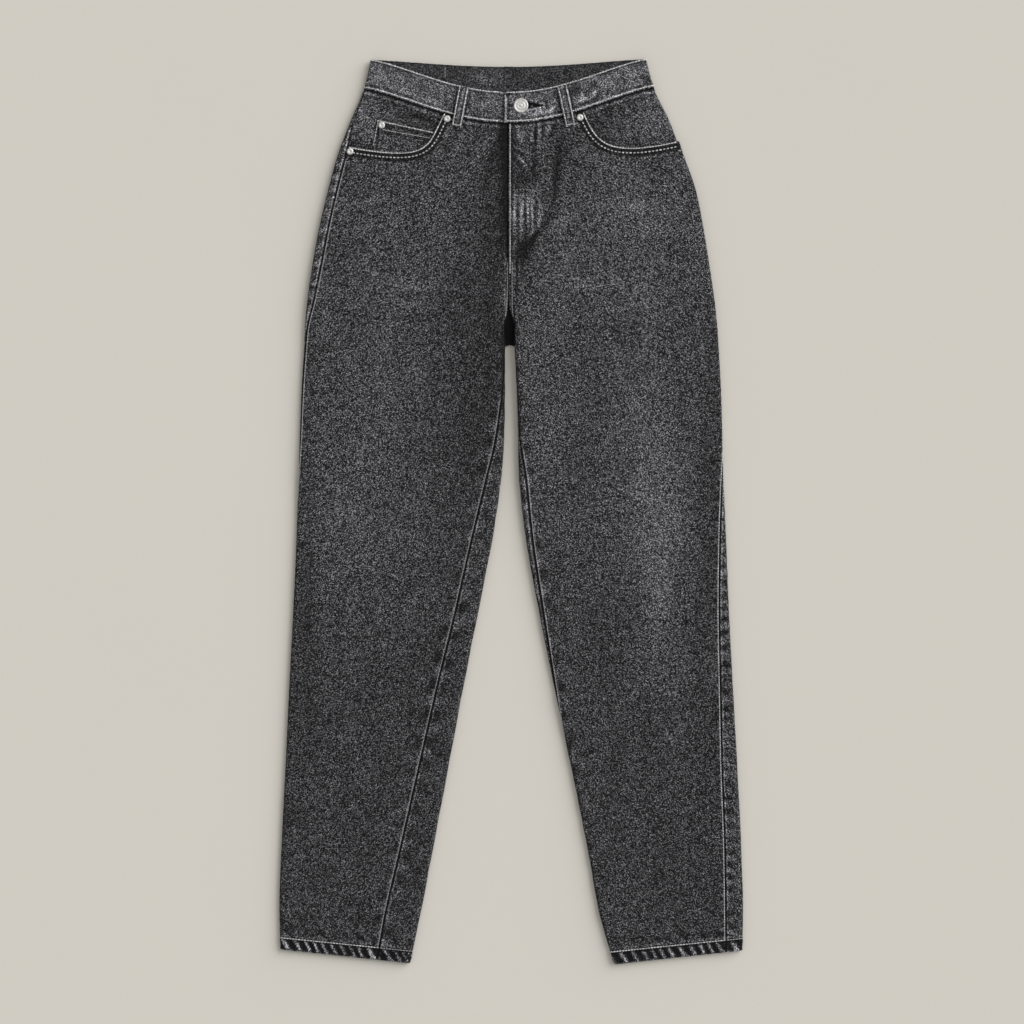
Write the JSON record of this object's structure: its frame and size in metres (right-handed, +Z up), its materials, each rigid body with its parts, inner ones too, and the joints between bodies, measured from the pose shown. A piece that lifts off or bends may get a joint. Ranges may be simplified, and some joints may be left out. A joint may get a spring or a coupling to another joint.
{
  "type": "tapered jeans laid flat",
  "caption": "High-waisted tapered five-pocket jeans in washed charcoal denim, laid out flat with the front up and the fly buttoned.",
  "frame": {"origin": "on the surface that the jeans lie on, under the middle of their outline", "axes": "+Y runs from the hems to the waist, +X to the wearer's left, +Z up from the surface through the front"},
  "size_m": [0.5378, 1.0494, 0.0128],
  "materials": {
    "denim": "charcoal denim, stone washed, with a pale grain and fades on the thighs",
    "denim_band": "the same denim, worn paler on the waistband and belt loops",
    "denim_inner": "the same denim, less worn, on the pocket facings",
    "thread": "light grey sewing thread",
    "button_metal": "worn silver-coloured metal with plain turned rings",
    "rivet_metal": "worn silver-coloured metal, domed with a small dimple"
  },
  "bodies": {
    "root": {"front_right": "denim", "front_left": "denim", "back_right": "denim", "back_left": "denim", "yoke_right": "denim", "yoke_left": "denim", "pocket_facing_right": "denim_inner", "pocket_facing_left": "denim_inner", "coin_pocket": "denim", "back_pocket_right": "denim", "back_pocket_left": "denim", "waistband": "denim_band", "belt_loop_front_right": "denim_band", "belt_loop_front_left": "denim_band", "belt_loop_back_right": "denim_band", "belt_loop_back_centre": "denim_band", "belt_loop_back_left": "denim_band", "button": "button_metal", "rivet_right_inner": "rivet_metal", "rivet_right_outer": "rivet_metal", "rivet_coin_pocket": "rivet_metal", "rivet_left_inner": "rivet_metal", "rivet_left_outer": "rivet_metal"}
  },
  "joints": []
}
